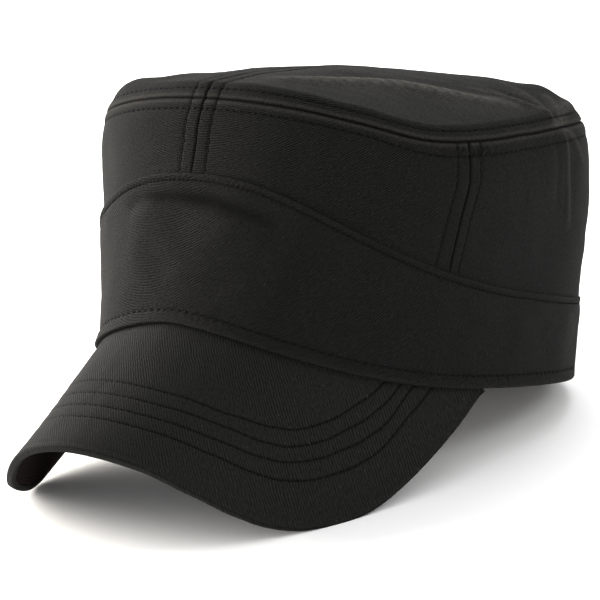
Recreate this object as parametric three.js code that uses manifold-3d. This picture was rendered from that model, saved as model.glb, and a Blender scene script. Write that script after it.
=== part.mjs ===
// A flat-top cloth cap: two top halves, three wall panels, a wide band lapped over them and a curved peak.
// It is drawn as it sits on a head, front towards -Y and the wearer's left towards +X, then tipped back
// until the two low corners of the peak and the back of the band stand on the floor at z = 0.
// Lengths are millimetres and angles are degrees. "Turn" is the angle round the cap, 0 at the centre front.
import * as THREE from "three";
import { mergeVertices } from "three/addons/utils/BufferGeometryUtils.js";
import Module from "manifold-3d";

const wasm = await Module();
wasm.setup();

// Plan of the cap at the band's lower edge
const bandHalfWidth = 84;
const bandFrontReach = 106;
const bandBackReach = 105;
const bandOvalPower = 2.05;

// Plan of the cap where the walls start to turn over into the top
const crownHalfWidth = 87;
const crownFrontReach = 91.5;
const crownBackReach = 91.5;
const crownOvalPower = 2.45;
const sideHollow = 1.3;
const backSwell = 2.5;

// Height of the top seam at the centre front, and its sag round the cap as shares of that height
const seamHeight = 102.3;
const seamSag = [
  { turn: 0, share: 1.0 },
  { turn: 20, share: 0.981 },
  { turn: 40, share: 0.937 },
  { turn: 60, share: 0.888 },
  { turn: 80, share: 0.902 },
  { turn: 100, share: 0.954 },
  { turn: 130, share: 0.987 },
  { turn: 180, share: 0.948 },
];

// Soft edge between wall and top, and the doming of the top
const edgeInset = 8.1;
const edgeRise = 23.5;
const seamLean = 44.4;
const domeRise = 11.5;
const domePower = 1.94;

// Seams between the wall panels
const sideSeamAngle = 70.3;
const sideSeamSlantAngle = 3.3;

// Band: its wave-shaped top edge, the arch over the peak and the hem
const bandBackHeight = 31.5;
const bandFrontRise = 42.8;
const bandWaveAngle = 48.2;
const bandWavePower = 1.9;
const peakArch = 19.6;
const peakArchPower = 0.78;
const bandLap = 7;
const hemHeight = 6;
const hemFlare = 1.2;
const hemFadeAngle = 24;

// Peak: its half turn round the band, its plan, and the height of its rim as shares of its drop
const peakHalfAngle = 80.2;
const peakLength = 141;
const peakOverhang = 1.5;
const peakDrop = 47.5;
const peakSag = 1.0;
const cornerShare = 0.985;
const rimHeights = [
  { turn: 0, share: 0.51 },
  { turn: 20, share: 0.614 },
  { turn: 40, share: 0.947 },
  { turn: 57, share: 1.0 },
  { turn: 73, share: 0.638 },
  { turn: 90, share: 0 },
];

// Cloth thicknesses and the gaps left between neighbours
const wallCloth = 1.3;
const topCloth = 1.3;
const bandCloth = 1.2;
const peakThickness = 3.0;
const peakTopCloth = 1.5;
const rimRounding = 0.8;
const rimFold = 2.6;
const seamGap = 0.3;
const lapGap = 0.3;
const bandProud = 0.8;
const restFlat = 0.4;

// Large soft dents in the wall and band: place, half sizes and depth as shares of the seam height. Where the
// cloth swells outward the depth is negative.
const dents = [
  { turn: 132, height: 0.62, halfTurn: 20, halfHeight: 0.2, depth: -0.017 },
  { turn: -40, height: 0.93, halfTurn: 15, halfHeight: 0.1, depth: -0.02 },
  { turn: 7, height: 0.61, halfTurn: 24, halfHeight: 0.05, depth: 0.018 },
  { turn: 34, height: 0.55, halfTurn: 12, halfHeight: 0.06, depth: 0.009 },
  { turn: -26, height: 0.58, halfTurn: 12, halfHeight: 0.07, depth: 0.008 },
  { turn: 92, height: 0.56, halfTurn: 14, halfHeight: 0.18, depth: 0.01 },
  { turn: 106, height: 0.8, halfTurn: 5, halfHeight: 0.13, depth: 0.012 },
  { turn: 132, height: 1.05, halfTurn: 14, halfHeight: 0.06, depth: 0.03 },
  { turn: -44, height: 0.15, halfTurn: 20, halfHeight: 0.27, depth: 0.025 },
];

// Fineness of the faceting
const columnTurn = 5;
const wallRows = 4;
const bandRows = 5;
const edgeRows = 3;
const domeRows = 5;
const peakColumns = 36;
const peakRows = 6;

const bandOuter = bandProud;
const bandInner = bandOuter - bandCloth;
const wallOuter = bandInner - lapGap;
const wallInner = wallOuter - wallCloth;
const topInner = wallOuter - topCloth;

const radians = THREE.MathUtils.degToRad;
const lerp = THREE.MathUtils.lerp;
const clamp = THREE.MathUtils.clamp;

function steps(from, to, count) {
  return Array.from({ length: count + 1 }, (_, i) => lerp(from, to, i / count));
}

function foldTurn(turn) {
  return Math.abs(((turn + 540) % 360) - 180);
}

// Smooth curve through a table's shares, level at its first row and, if asked, at its last
function smoothShare(table, turn, levelEnd) {
  const last = table.length - 1;
  const slopeAt = (i) => {
    if (i === 0 || (i === last && levelEnd)) {
      return 0;
    }
    const before = table[i - 1];
    const after = table[Math.min(i + 1, last)];
    return (after.share - before.share) / (after.turn - before.turn);
  };
  let i = 0;
  while (i < last - 1 && turn > table[i + 1].turn) {
    i += 1;
  }
  const from = table[i];
  const to = table[i + 1];
  const span = to.turn - from.turn;
  const t = (turn - from.turn) / span;
  const rise = (to.share - from.share) * t * t * (3 - 2 * t);
  const startSlope = slopeAt(i) * span * t * (1 - t) * (1 - t);
  const endSlope = slopeAt(i + 1) * span * t * t * (1 - t);
  return from.share + rise + startSlope - endSlope;
}

// Squared oval with its own reach to the front and to the back
function ovalPoint(plan, turn, outset, z) {
  const power = 2 / plan.ovalPower;
  const sine = Math.sin(radians(turn));
  const cosine = Math.cos(radians(turn));
  const reach = cosine > 0 ? plan.frontReach : plan.backReach;
  const x = (plan.halfWidth + outset) * Math.sign(sine) * Math.abs(sine) ** power;
  const y = -(reach + outset) * Math.sign(cosine) * Math.abs(cosine) ** power;
  return new THREE.Vector3(x, y, z);
}

function wallPlan(share) {
  const hump = 4 * share * (1 - share);
  return {
    halfWidth: lerp(bandHalfWidth, crownHalfWidth, share) - sideHollow * hump,
    frontReach: lerp(bandFrontReach, crownFrontReach, share) - sideHollow * hump,
    backReach: lerp(bandBackReach, crownBackReach, share) + backSwell * hump,
    ovalPower: lerp(bandOvalPower, crownOvalPower, share),
  };
}

function topSeamHeight(turn) {
  return seamHeight * smoothShare(seamSag, foldTurn(turn), true);
}

function wallTop(turn) {
  return topSeamHeight(turn) - edgeRise * Math.sin(radians(seamLean));
}

function dentDepth(turn, z) {
  let depth = 0;
  for (const dent of dents) {
    const across = (((turn - dent.turn + 540) % 360) - 180) / dent.halfTurn;
    const up = (z / seamHeight - dent.height) / dent.halfHeight;
    depth += dent.depth * seamHeight * Math.exp(-across * across - up * up);
  }
  return depth;
}

function wallPoint(turn, z, outset) {
  const plan = wallPlan(clamp(z / wallTop(turn), -0.3, 1.3));
  return ovalPoint(plan, turn, outset - dentDepth(turn, z), z);
}

// The soft edge is a quarter of an upright ellipse; lean is the angle along it, 0 at the wall
function edgePoint(turn, lean, outset) {
  const sine = Math.sin(radians(lean));
  const cosine = Math.cos(radians(lean));
  const length = Math.hypot(edgeRise * cosine, edgeInset * sine);
  const outward = (outset * edgeRise * cosine) / length;
  const upward = (outset * edgeInset * sine) / length;
  const z = wallTop(turn) + edgeRise * sine;
  const inset = edgeInset * (1 - cosine) + dentDepth(turn, z);
  return ovalPoint(wallPlan(1), turn, outward - inset, z + upward);
}

// The edge ends where it is as steep as the start of the dome
const domeSlope = (domeRise * domePower) / (crownHalfWidth - edgeInset);
const edgeEndLean = THREE.MathUtils.radToDeg(Math.atan(edgeRise / (edgeInset * domeSlope)));
const domeBase = (edgePoint(0, edgeEndLean, 0).z + edgePoint(180, edgeEndLean, 0).z) / 2;

function domePoint(turn, share, outset) {
  const edge = edgePoint(turn, edgeEndLean, outset);
  const level = lerp(domeBase + outset, edge.z, share * share);
  const dome = domeRise * (1 - share ** domePower);
  return new THREE.Vector3(edge.x * share, edge.y * share, level + dome);
}

function bandTopHeight(turn) {
  const wave = Math.exp(-Math.LN2 * (foldTurn(turn) / bandWaveAngle) ** bandWavePower);
  return bandBackHeight + bandFrontRise * wave;
}

function bandBottomHeight(turn) {
  const share = Math.min(foldTurn(turn) / peakHalfAngle, 1);
  return peakArch * Math.cos((Math.PI / 2) * share ** peakArchPower) ** 2;
}

// A body lofted through rings of points. It runs right round the cap, or its ends are closed by the given
// triangles of a ring.
function loft(rings, endFaces) {
  const size = rings[0].length;
  const last = (rings.length - 1) * size;
  const faces = [];
  for (let i = 0; i < (endFaces ? rings.length - 1 : rings.length); i += 1) {
    const here = i * size;
    const next = ((i + 1) % rings.length) * size;
    for (let j = 0; j < size; j += 1) {
      const k = (j + 1) % size;
      faces.push([here + j, next + j, next + k], [here + j, next + k, here + k]);
    }
  }
  for (const [a, b, c] of endFaces ?? []) {
    faces.push([a, b, c], [last + a, last + c, last + b]);
  }
  const positions = rings.flat().flatMap((point) => point.toArray());
  const geometry = new THREE.BufferGeometry();
  geometry.setAttribute("position", new THREE.Float32BufferAttribute(positions, 3));
  geometry.setIndex(faces.flat());
  return outwardFacing(mergeVertices(geometry, 1e-3));
}

// Drops faces that have shrunk to a line and turns the body right side out
function outwardFacing(geometry) {
  const index = geometry.index.array;
  const position = geometry.attributes.position;
  const corners = [0, 1, 2].map(() => new THREE.Vector3());
  const kept = [];
  let volume = 0;
  for (let i = 0; i < index.length; i += 3) {
    const [a, b, c] = index.slice(i, i + 3);
    if (a === b || b === c || a === c) {
      continue;
    }
    kept.push([a, b, c]);
    [a, b, c].forEach((vertex, n) => corners[n].fromBufferAttribute(position, vertex));
    volume += corners[0].dot(corners[1].cross(corners[2]));
  }
  const faces = volume < 0 ? kept.map(([a, b, c]) => [a, c, b]) : kept;
  geometry.setIndex(faces.flat());
  return geometry;
}

// A sheet's ring is its outer side from one edge to the other and its inner side back
function sheetRing(outer, inner) {
  return [...outer, ...inner.reverse()];
}

function sheetEnd(ring) {
  const pairs = steps(0, ring.length / 2 - 2, ring.length / 2 - 2).map((j) => [j, ring.length - 1 - j]);
  return pairs.flatMap(([j, k]) => [[j, j + 1, k - 1], [j, k - 1, k]]);
}

const edgeGapLean = THREE.MathUtils.radToDeg(
  seamGap / 2 / Math.hypot(edgeInset * Math.sin(radians(seamLean)), edgeRise * Math.cos(radians(seamLean)))
);

// Heights shared by the band's upper edge and the wall behind it
function lapHeights(turn) {
  return steps(bandTopHeight(turn) - bandLap, bandTopHeight(turn), 2);
}

// A wall panel between two seams, each seam given as its turn at a share of the wall's height
function wallPanel(startTurn, endTurn) {
  const first = Math.max(startTurn(0), startTurn(1)) + columnTurn / 4;
  const last = Math.min(endTurn(0), endTurn(1)) - columnTurn / 4;
  const columns = [];
  for (let turn = Math.ceil(first / columnTurn) * columnTurn; turn < last; turn += columnTurn) {
    columns.push(() => turn);
  }
  const side = (column, outset) => {
    const turn = column(1);
    const lap = lapHeights(column(0)).map((z) => wallPoint(column(0), z, outset));
    const wall = steps(0, 1, wallRows).slice(1).map((share) => {
      const here = column(share);
      return wallPoint(here, lerp(bandTopHeight(here), wallTop(here), share), outset);
    });
    const leans = steps(0, seamLean - edgeGapLean, edgeRows).slice(1);
    return [...lap, ...wall, ...leans.map((lean) => edgePoint(turn, lean, outset))];
  };
  const rings = [startTurn, ...columns, endTurn].map((column) => {
    return sheetRing(side(column, wallOuter), side(column, wallInner));
  });
  return loft(rings, sheetEnd(rings[0]));
}

const frontGapTurn = THREE.MathUtils.radToDeg(seamGap / 2 / crownFrontReach);
const sideGapTurn = THREE.MathUtils.radToDeg(seamGap / 2 / crownHalfWidth);

function sideSeam(share) {
  return sideSeamAngle + sideSeamSlantAngle * (share - 0.5);
}

// Half of the top, from the centre seam round one side; side is 1 for the wearer's left
function topHalf(side) {
  const squeeze = 1 - seamGap / 2 / crownHalfWidth;
  const line = (turn, outset) => {
    const leans = steps(seamLean + edgeGapLean, edgeEndLean, edgeRows);
    const shares = steps(1, 0, domeRows).slice(1);
    const rim = leans.map((lean) => edgePoint(side * turn, lean, outset));
    const dome = shares.map((share) => domePoint(side * turn, share, outset));
    return [...rim, ...dome].map(({ x, y, z }) => new THREE.Vector3(x * squeeze + (side * seamGap) / 2, y, z));
  };
  const rings = steps(0, 180, 180 / columnTurn).map((turn) => {
    return sheetRing(line(turn, wallOuter), line(turn, topInner));
  });
  return loft(rings, sheetEnd(rings[0]));
}

// The hem stands out a little more over the peak than round the back, and fades across the peak's corner
function hemOutset(turn) {
  const beforeFade = peakHalfAngle + hemFadeAngle / 2 - foldTurn(turn);
  const overPeak = THREE.MathUtils.smoothstep(beforeFade, 0, hemFadeAngle);
  return bandOuter + hemFlare * lerp(0.3, 1, overPeak);
}

// The band is one closed strip with a rounded upper edge and a hem along the lower one
function bandStrip() {
  const rings = steps(0, 360, 360 / columnTurn).slice(0, -1).map((turn) => {
    const bottom = bandBottomHeight(turn);
    const top = bandTopHeight(turn);
    const [lapStart, lapMiddle] = lapHeights(turn);
    const aboveHem = steps(bottom + hemHeight, lapStart, bandRows);
    const heights = [bottom, bottom + hemHeight / 2, ...aboveHem, lapMiddle, top - bandCloth / 2, top];
    const outer = heights.map((z) => {
      const hem = clamp(1 - (z - bottom) / hemHeight, 0, 1) ** 2;
      const rounding = z === top ? bandCloth / 3 : 0;
      return wallPoint(turn, z, lerp(bandOuter, hemOutset(turn), hem) - rounding);
    });
    const inner = heights.map((z) => wallPoint(turn, z, bandInner));
    return sheetRing(outer, inner);
  });
  return loft(rings);
}

// The peak's upper face is ruled from the band's lower edge to the rim; span runs from -1 to 1 round it
const cornerPlan = wallPoint(peakHalfAngle, 0, 0);

function peakInnerEdge(span) {
  const turn = span * peakHalfAngle;
  const point = wallPoint(turn, bandBottomHeight(turn), bandInner);
  point.z -= seamGap;
  return point;
}

function peakRim(span) {
  const turn = span * 90;
  const x = (cornerPlan.x + peakOverhang) * Math.sin(radians(turn));
  const y = cornerPlan.y - peakLength * Math.cos(radians(turn));
  const z = -peakDrop * smoothShare(rimHeights, Math.abs(turn), false) - seamGap;
  return new THREE.Vector3(x, y, z);
}

function peakFace(span, share) {
  const point = peakInnerEdge(span).lerp(peakRim(span), share);
  point.z -= peakSag * 4 * share * (1 - share);
  return point;
}

function peakNormal(span, share) {
  const step = 0.01;
  const before = clamp(span, -1 + step, 1 - step);
  const along = peakFace(before + step, share).sub(peakFace(before - step, share));
  const outward = peakRim(span).sub(peakInnerEdge(span));
  return outward.cross(along).normalize();
}

// A point of the peak at a distance out from the band and a depth below the upper face
function peakPoint(span, out, depth) {
  const share = out / peakInnerEdge(span).distanceTo(peakRim(span));
  return peakFace(span, share).addScaledVector(peakNormal(span, share), -depth);
}

// The covers stop just short of the peak's sharp corners, and their columns lie closer together there
const peakSpans = steps(-90, 90, peakColumns).map((turn) => {
  return cornerShare * lerp(turn / 90, Math.sin(radians(turn)), 0.6);
});

// A peak cover is lofted through its section at each span; section gives the outline for a reach
function peakCover(section) {
  const rings = peakSpans.map((span) => {
    const reach = peakInnerEdge(span).distanceTo(peakRim(span));
    return section(reach).map(({ out, depth }) => peakPoint(span, out, depth));
  });
  const endReach = peakInnerEdge(cornerShare).distanceTo(peakRim(cornerShare));
  const outline = section(endReach).map(({ out, depth }) => new THREE.Vector2(out, depth));
  return loft(rings, THREE.ShapeUtils.triangulateShape(outline, []));
}

// The upper cover turns round the rim and ends in a narrow fold below it
function peakTopSection(reach) {
  const fold = Math.min(rimFold, reach * 0.6);
  const rounding = Math.min(rimRounding, reach * 0.3);
  const outs = steps(0, reach - fold, peakRows);
  const outer = [
    ...outs.map((out) => ({ out, depth: 0 })),
    { out: reach - rounding, depth: 0 },
    { out: reach - rounding * 0.3, depth: rounding * 0.3 },
    { out: reach, depth: rounding },
    { out: reach, depth: peakThickness - rounding },
    { out: reach - rounding * 0.3, depth: peakThickness - rounding * 0.3 },
    { out: reach - rounding, depth: peakThickness },
    { out: reach - fold, depth: peakThickness },
  ];
  const inner = outs.map((out) => ({ out, depth: peakTopCloth }));
  return [...outer, ...inner.reverse()];
}

function peakUnderSection(reach) {
  const fold = Math.min(rimFold, reach * 0.6);
  const outs = steps(0, Math.max(reach - fold - seamGap, reach * 0.2), peakRows);
  const upper = outs.map((out) => ({ out, depth: peakTopCloth + seamGap }));
  const lower = outs.map((out) => ({ out, depth: peakThickness }));
  return [...upper, ...lower.reverse()];
}

// The cap tips back about the heel of its band until the lowest points of the rim meet the floor
const heel = wallPoint(180, 0, hemOutset(180));
const peakTop = peakCover(peakTopSection);

function restTilt() {
  const point = new THREE.Vector3();
  let steepest = 0;
  for (let i = 0; i < peakTop.attributes.position.count; i += 1) {
    point.fromBufferAttribute(peakTop.attributes.position, i);
    steepest = Math.max(steepest, Math.atan2(heel.z - point.z, heel.y - point.y));
  }
  return steepest;
}

const worn = new THREE.Group();
worn.rotation.x = -restTilt();
worn.position.z = heel.y * Math.sin(-worn.rotation.x) - restFlat;
worn.updateMatrixWorld(true);

function toSolid(geometry) {
  const bare = geometry.clone();
  bare.deleteAttribute("normal");
  bare.deleteAttribute("uv");
  const merged = mergeVertices(bare, 1e-3);
  const vertProperties = new Float32Array(merged.attributes.position.array);
  const triVerts = new Uint32Array(merged.index.array);
  return new wasm.Manifold(new wasm.Mesh({ numProp: 3, vertProperties, triVerts }));
}

// What would reach below the floor is cut off flat, so the cap stands on true flats
function cutAtFloor(geometry) {
  const floor = new THREE.BoxGeometry(4 * crownHalfWidth, 4 * peakLength, peakDrop);
  floor.translate(0, 0, -peakDrop / 2);
  floor.applyMatrix4(worn.matrixWorld.clone().invert());
  const cut = toSolid(geometry).subtract(toSolid(floor)).getMesh();
  const flat = new THREE.BufferGeometry();
  flat.setAttribute("position", new THREE.BufferAttribute(cut.vertProperties, 3));
  flat.setIndex(Array.from(cut.triVerts));
  return flat;
}

function piece(name, geometry, color, roughness) {
  geometry.computeVertexNormals();
  const material = new THREE.MeshStandardMaterial({ color, roughness, metalness: 0 });
  const mesh = new THREE.Mesh(geometry, material);
  mesh.name = name;
  worn.add(mesh);
}

const frontSeamLeft = () => frontGapTurn;
const sideSeamLeft = (share) => sideSeam(share) - sideGapTurn;

piece("crown_top_left", topHalf(1), 0x2b2a28, 0.8);
piece("crown_top_right", topHalf(-1), 0x2b2a28, 0.8);
piece("crown_front_left", wallPanel(frontSeamLeft, sideSeamLeft), 0x2b2a28, 0.8);
piece("crown_front_right", wallPanel((share) => -sideSeamLeft(share), () => -frontGapTurn), 0x2b2a28, 0.8);
piece(
  "crown_back",
  wallPanel((share) => sideSeam(share) + sideGapTurn, (share) => 360 - sideSeam(share) - sideGapTurn),
  0x2b2a28,
  0.8
);
piece("band", cutAtFloor(bandStrip()), 0x2b2a28, 0.8);
piece("peak_top", cutAtFloor(peakTop), 0x2b2a28, 0.8);
piece("peak_under", peakCover(peakUnderSection), 0x1a1918, 0.9);

// The origin lies on the floor below the middle of the cap's box
const cap = new THREE.Group();
cap.add(worn);
cap.updateMatrixWorld(true);
const box = new THREE.Box3().setFromObject(cap, true);
worn.position.x -= (box.min.x + box.max.x) / 2;
worn.position.y -= (box.min.y + box.max.y) / 2;

export default cap;
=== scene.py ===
# A flat-top cloth cap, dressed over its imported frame.
# Lengths are millimetres in the cap's worn position, front towards -Y and the wearer's left towards +X.
# "Turn" is the angle round the cap in degrees, 0 at the centre front. Each finished mesh is tipped back
# onto the floor and turned to metres when it is made.
import math

import bmesh
import bpy
import numpy as np
from mathutils import Matrix, Vector


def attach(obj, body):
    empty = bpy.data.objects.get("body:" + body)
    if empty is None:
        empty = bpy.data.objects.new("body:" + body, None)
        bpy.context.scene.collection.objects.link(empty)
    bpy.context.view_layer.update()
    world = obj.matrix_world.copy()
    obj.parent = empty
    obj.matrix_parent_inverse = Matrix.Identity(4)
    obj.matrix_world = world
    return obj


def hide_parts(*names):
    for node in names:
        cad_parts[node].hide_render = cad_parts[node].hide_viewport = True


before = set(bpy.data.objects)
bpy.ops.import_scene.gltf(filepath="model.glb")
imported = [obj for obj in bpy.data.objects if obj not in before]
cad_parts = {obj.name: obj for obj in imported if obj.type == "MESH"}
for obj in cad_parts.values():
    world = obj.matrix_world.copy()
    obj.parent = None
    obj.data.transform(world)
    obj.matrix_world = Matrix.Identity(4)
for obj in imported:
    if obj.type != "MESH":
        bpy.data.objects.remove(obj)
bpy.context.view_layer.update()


# Front wall panels
# Two pieces of black cotton drill joined down the centre front. The seam is pressed open and topstitched on
# each side. Their upper edge is sewn to the top, and their lower edge runs down inside the band.
band_half_width = 84.0
band_front_reach = 106.0
band_back_reach = 105.0
band_oval_power = 2.05
crown_half_width = 87.0
crown_front_reach = 91.5
crown_back_reach = 91.5
crown_oval_power = 2.45
side_hollow = 1.3
back_swell = 2.5
seam_height = 102.3
seam_sag = [
    (0, 1.0),
    (20, 0.981),
    (40, 0.937),
    (60, 0.888),
    (80, 0.902),
    (100, 0.954),
    (130, 0.987),
    (180, 0.948),
]
edge_inset = 8.1
edge_rise = 23.5
seam_lean = 44.4
side_seam_turn = 70.3
side_seam_slant = 3.3
band_back_height = 31.5
band_front_rise = 42.8
band_wave_turn = 48.2
band_wave_power = 1.9
band_lap = 7.0
wall_outer = -0.7
wall_cloth = 1.3
slit = 0.12
inner_slit = 0.002

# Large soft dents, swells being negative: turn, share of the seam height, half turn, half height as a share
# and depth as a share
dents = [
    (132, 0.62, 20, 0.20, -0.017),
    (-40, 0.93, 15, 0.10, -0.020),
    (7, 0.61, 24, 0.05, 0.018),
    (34, 0.55, 12, 0.06, 0.009),
    (-26, 0.58, 12, 0.07, 0.008),
    (92, 0.56, 14, 0.18, 0.010),
    (106, 0.80, 5, 0.13, 0.012),
    (132, 1.05, 14, 0.06, 0.030),
    (-44, 0.15, 20, 0.27, 0.025),
]

# How the cap lies: tipped back by this angle and shifted over the origin
rest_tilt = math.radians(13.5578)
rest_place = (0.127, 26.001, 24.487)

# Topstitching: distance of each row from its seam, and the length, thickness and slant of a stitch
front_row = 6.0
side_row = 5.5
wall_top_row = 4.1
stitch_length = 3.1
thread_thickness = 0.5
stitch_slant = 0.12

# About how far it is round the wall for each degree of turn
mm_per_degree = 1.62


# The turn without its side: 0 at the centre front and 180 at the centre back
def fold_turn(turn):
    return np.abs((turn + 540.0) % 360.0 - 180.0)


# Smooth curve through a table of places and values, level at its first row and, if asked, at its last
def smooth_share(table, turn, level_end):
    turns, shares = np.array(table, float).T
    slopes = np.zeros(len(turns))
    slopes[1:-1] = (shares[2:] - shares[:-2]) / (turns[2:] - turns[:-2])
    if not level_end:
        slopes[-1] = (shares[-1] - shares[-2]) / (turns[-1] - turns[-2])
    row = np.clip(np.searchsorted(turns, turn) - 1, 0, len(turns) - 2)
    span = turns[row + 1] - turns[row]
    t = (turn - turns[row]) / span
    rise = (shares[row + 1] - shares[row]) * t * t * (3 - 2 * t)
    return shares[row] + rise + span * (slopes[row] * t * (1 - t) ** 2 - slopes[row + 1] * t * t * (1 - t))


# The cap's plan is an oval, squarer the higher its power
def oval(half_width, front_reach, back_reach, power, turn, outset):
    sine = np.sin(np.radians(turn))
    cosine = np.cos(np.radians(turn))
    reach = np.where(cosine > 0, front_reach, back_reach)
    x = (half_width + outset) * np.sign(sine) * np.abs(sine) ** (2 / power)
    y = -(reach + outset) * np.sign(cosine) * np.abs(cosine) ** (2 / power)
    return x, y


def wall_top(turn):
    seam = seam_height * smooth_share(seam_sag, fold_turn(turn), True)
    return seam - edge_rise * math.sin(math.radians(seam_lean))


# How deep the soft dents are at a place
def dent_depth(turn, z):
    depth = 0.0
    for at_turn, at_share, half_turn, half_share, depth_share in dents:
        across = ((turn - at_turn + 540.0) % 360.0 - 180.0) / half_turn
        up = (z / seam_height - at_share) / half_share
        depth = depth + depth_share * seam_height * np.exp(-across * across - up * up)
    return depth


# A point of the wall, standing off its plain shape by the outset
def wall_point(turn, z, outset):
    share = np.clip(z / wall_top(turn), -0.3, 1.3)
    hump = 4 * share * (1 - share)
    x, y = oval(
        band_half_width + (crown_half_width - band_half_width) * share - side_hollow * hump,
        band_front_reach + (crown_front_reach - band_front_reach) * share - side_hollow * hump,
        band_back_reach + (crown_back_reach - band_back_reach) * share + back_swell * hump,
        band_oval_power + (crown_oval_power - band_oval_power) * share,
        turn,
        outset - dent_depth(turn, z),
    )
    return np.stack([x, y, z + 0 * x], -1)


# The soft edge between wall and top is a quarter of an upright ellipse, and lean is the angle along it
def edge_point(turn, lean, outset):
    sine = np.sin(np.radians(lean))
    cosine = np.cos(np.radians(lean))
    length = np.hypot(edge_rise * cosine, edge_inset * sine)
    z = wall_top(turn) + edge_rise * sine
    inset = edge_inset * (1 - cosine) + dent_depth(turn, z)
    outward = outset * edge_rise * cosine / length - inset
    x, y = oval(crown_half_width, crown_front_reach, crown_back_reach, crown_oval_power, turn, outward)
    return np.stack([x, y, z + outset * edge_inset * sine / length], -1)


# Distance over the cloth from the foot of that ellipse, in steps of an eighth of a degree
lean_step = 0.125
edge_leans = np.linspace(0, 90, 721)
edge_paces = np.hypot(
    edge_inset * np.sin(np.radians(edge_leans)), edge_rise * np.cos(np.radians(edge_leans))
)
edge_arc = np.concatenate(
    [[0], np.cumsum((edge_paces[1:] + edge_paces[:-1]) / 2 * math.radians(lean_step))]
)
seam_arc = np.interp(seam_lean, edge_leans, edge_arc)


# A point of the wall at a distance below the top seam, measured over the cloth
def crown_point(turn, drop, outset):
    turn, drop = np.broadcast_arrays(np.asarray(turn, float), drop)
    lean = np.interp(seam_arc - drop, edge_arc, edge_leans)
    below = np.maximum(drop - seam_arc, 0)
    on_wall = wall_point(turn, wall_top(turn) - below, outset)
    return np.where((below > 0)[..., None], on_wall, edge_point(turn, lean, outset))


def band_top_height(turn):
    return band_back_height + band_front_rise * np.exp(
        -math.log(2) * (fold_turn(turn) / band_wave_turn) ** band_wave_power
    )


# How far down from the top seam the wall ends, inside the band
def lowest_drop(turn):
    return seam_arc + wall_top(turn) - (band_top_height(turn) - band_lap)


# The side seam slants forward a little as it comes down
def side_seam(drop):
    z = crown_point(side_seam_turn, drop, 0.0)[..., 2]
    low = band_top_height(side_seam_turn)
    share = np.clip((z - low) / (wall_top(side_seam_turn) - low), 0, 1)
    return side_seam_turn + side_seam_slant * (share - 0.5)


# Distances along a line of points, from its start
def run_along(line):
    return np.concatenate([[0], np.cumsum(np.linalg.norm(np.diff(line, axis=0), axis=1))])


# Girth is the distance round the cap along the top seam, from the centre front
girth_turns = np.linspace(-180, 180, 28801)
girth_table = run_along(crown_point(girth_turns, 0.0, wall_outer))
girth_table -= np.interp(0, girth_turns, girth_table)


def girth_at(turn):
    return np.interp(turn, girth_turns, girth_table)


def turn_at(girth):
    return np.interp(girth, girth_table, girth_turns)


# Places from start to end: a fine step apart within reach of the given centres, easing to a coarse one over
# the next 5 mm
def graded(start, end, centres, reach, fine, coarse):
    places = [start]
    while places[-1] < end:
        away = min(abs(places[-1] - centre) for centre in centres) - reach
        places.append(places[-1] + fine + (coarse - fine) * min(max(away / 5, 0), 1))
    places = np.array(places)
    return start + (places - start) * (end - start) / (places[-1] - start)


# Smooth unevenness of about plus or minus one, with swells of about the given size in millimetres: a sum of
# waves of random heading, length and start
def unevenness(u, v, size, seed):
    chance = np.random.default_rng(seed)
    waves = 9
    total = 0.0
    for _ in range(waves):
        heading = chance.uniform(0, 2 * math.pi)
        pace = 2 * math.pi / (size * chance.uniform(0.6, 1.7))
        start = chance.uniform(0, 6.3)
        total = total + np.sin(pace * (u * math.cos(heading) + v * math.sin(heading)) + start)
    return total / math.sqrt(waves)


def groove(distance, depth, half_width):
    return -depth * np.exp(-((distance / half_width) ** 2))


# A round swell of height 1, with its middle at the given place
def swell(u, v, at_u, at_v, half_u, half_v):
    return np.exp(-(((u - at_u) / half_u) ** 2) - ((v - at_v) / half_v) ** 2)


# Depth and half width of the dip at a seam, of the line under a row of stitches and of the hollow round it
seam_dip = (0.6, 0.42)
row_line = (0.36, 0.45)
row_hollow = (0.1, 1.8)
turned_edge_height = 0.16


# Cloth beside a seam that is pressed open: it dips into the seam, swells over the turned-in edges and is
# drawn down along the row of stitches, with small gathers between the stitches
def topstitched(away, along, row, gather, seed):
    edges = turned_edge_height * np.clip(1 - ((away - row * 0.5) / (row * 0.56)) ** 2, 0, 1)
    lines = groove(away, *seam_dip) + groove(away - row, *row_line) + groove(away - row, *row_hollow)
    force = 0.55 + 0.45 * unevenness(along, 0 * along, 26, seed)
    wander = 0.35 * unevenness(along, away * 2, 9, seed + 1)
    gathers = np.cos(2 * math.pi * (along / stitch_length + wander)) * force
    window = np.exp(-(((away - row * 0.72) / (row * 0.5)) ** 2)) * (1 - np.exp(-((away / 0.7) ** 2)))
    return edges + lines + gather * gathers * window


# Creases and soft folds: each is a line of places in turn and height, a half width, and a height that is
# negative for a groove. They fade out towards both ends.
def folds(table, turn, z, per_turn=mm_per_degree):
    total = 0.0
    for line, half_width, height in table:
        line = np.array(line, float) * (per_turn, 1)
        run = run_along(line)
        nearest = np.full(np.shape(turn), 1e9)
        place = np.zeros(np.shape(turn))
        for number in range(len(line) - 1):
            step = line[number + 1] - line[number]
            x = (((turn - line[number][0] / per_turn) + 540.0) % 360.0 - 180.0) * per_turn
            y = z - line[number][1]
            t = np.clip((x * step[0] + y * step[1]) / (step @ step), 0, 1)
            away = np.hypot(x - t * step[0], y - t * step[1])
            closer = away < nearest
            nearest = np.where(closer, away, nearest)
            place = np.where(closer, (run[number] + t * np.linalg.norm(step)) / run[-1], place)
        fade = np.sin(math.pi * np.clip(place, 0, 1)) ** 0.6
        total = total + height * fade * np.exp(-((nearest / half_width) ** 2))
    return total


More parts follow.
